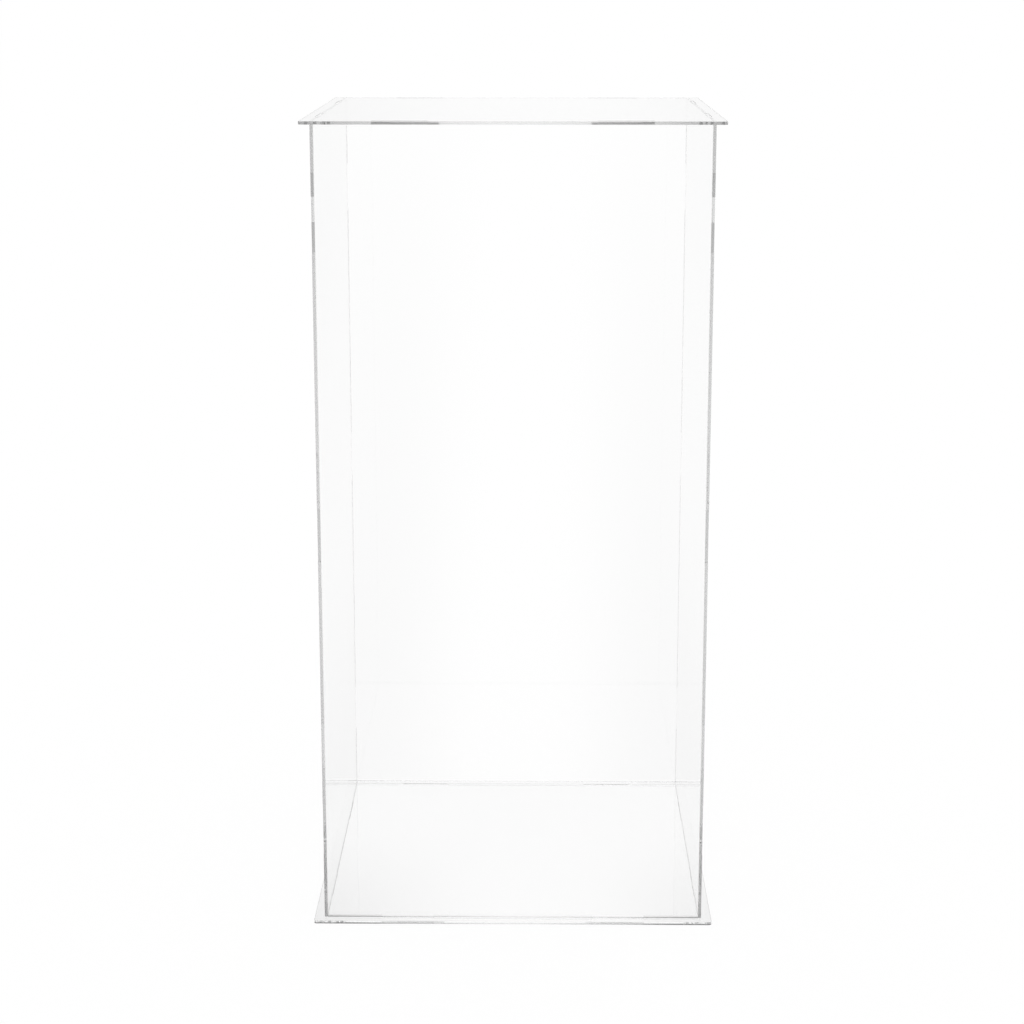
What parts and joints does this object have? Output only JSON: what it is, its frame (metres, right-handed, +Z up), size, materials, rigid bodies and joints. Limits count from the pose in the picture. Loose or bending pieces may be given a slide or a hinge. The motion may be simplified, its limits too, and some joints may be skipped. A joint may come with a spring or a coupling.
{
  "type": "display case",
  "caption": "Tall clear square display case for a pedestal or table: overhanging base plate, tabbed walls and a lift-off top plate.",
  "frame": {"origin": "middle of the base plate's underside, on the surface that the case stands on", "axes": "+Z up, front panel towards -Y, right panel towards +X as seen from the front"},
  "size_m": [0.4, 0.4, 0.8],
  "materials": {
    "clear_acrylic": "polished"
  },
  "bodies": {
    "base": {"base_plate": "clear_acrylic"},
    "cover": {"front_panel": "clear_acrylic", "back_panel": "clear_acrylic", "left_panel": "clear_acrylic", "right_panel": "clear_acrylic"},
    "lid": {"top_plate": "clear_acrylic"}
  },
  "joints": [
    {"name": "cover_lift", "type": "slide", "parent": "base", "child": "cover", "axis": [0, 0, 1], "range_m": [0, 0.2]},
    {"name": "lid_lift", "type": "slide", "parent": "cover", "child": "lid", "axis": [0, 0, 1], "range_m": [0, 0.2]}
  ]
}
